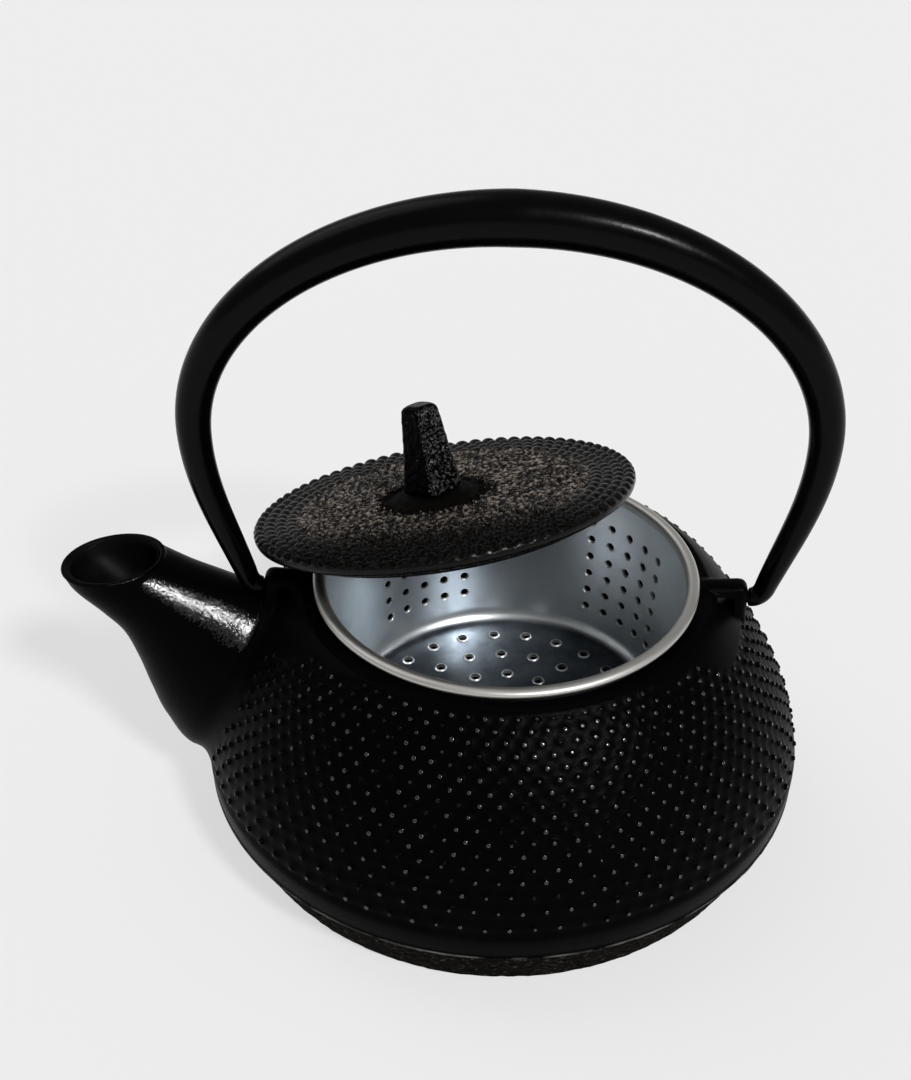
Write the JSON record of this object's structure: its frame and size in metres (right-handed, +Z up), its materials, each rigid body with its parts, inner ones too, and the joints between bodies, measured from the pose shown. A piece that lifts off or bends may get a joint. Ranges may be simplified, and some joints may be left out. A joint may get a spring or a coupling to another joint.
{
  "type": "teapot",
  "caption": "Small cast iron teapot with a hobnail surface, curved spout, propped lid with a tapered knob, perforated steel infuser basket and a swinging bail handle.",
  "frame": {"origin": "centre of the flat base, on the pot's axis", "axes": "+Z up along the pot's axis, the spout towards -X, the bail's pivot axis along X"},
  "size_m": [0.1451, 0.12, 0.129],
  "materials": {
    "pot_iron": "rough black iron with small hobnails, slightly glossy on the spout",
    "infuser_steel": "satin pressed stainless sheet",
    "lid_iron": "brown-black iron, sandy skin with a hobnailed border",
    "knob_iron": "grainy black iron",
    "washer_steel": "plain steel",
    "bail_steel": "smooth satin black"
  },
  "bodies": {
    "pot": {"pot_casting": "pot_iron"},
    "infuser": {"infuser_basket": "infuser_steel"},
    "lid": {"lid_casting": "lid_iron", "lid_knob": "knob_iron", "knob_washer": "washer_steel"},
    "bail": {"bail_handle": "bail_steel"}
  },
  "joints": [
    {"name": "bail_swing", "type": "hinge", "parent": "pot", "child": "bail", "pos_m": [0, 0, 0.0499], "axis": [1, 0, 0], "range_deg": [-65, 65]},
    {"name": "infuser_lift", "type": "slide", "parent": "pot", "child": "infuser", "axis": [0, 0, 1], "range_m": [0, 0.036]},
    {"name": "lid_lift", "type": "slide", "parent": "infuser", "child": "lid", "axis": [0, 0.7071, 0.7071], "range_m": [0, 0.11]}
  ]
}
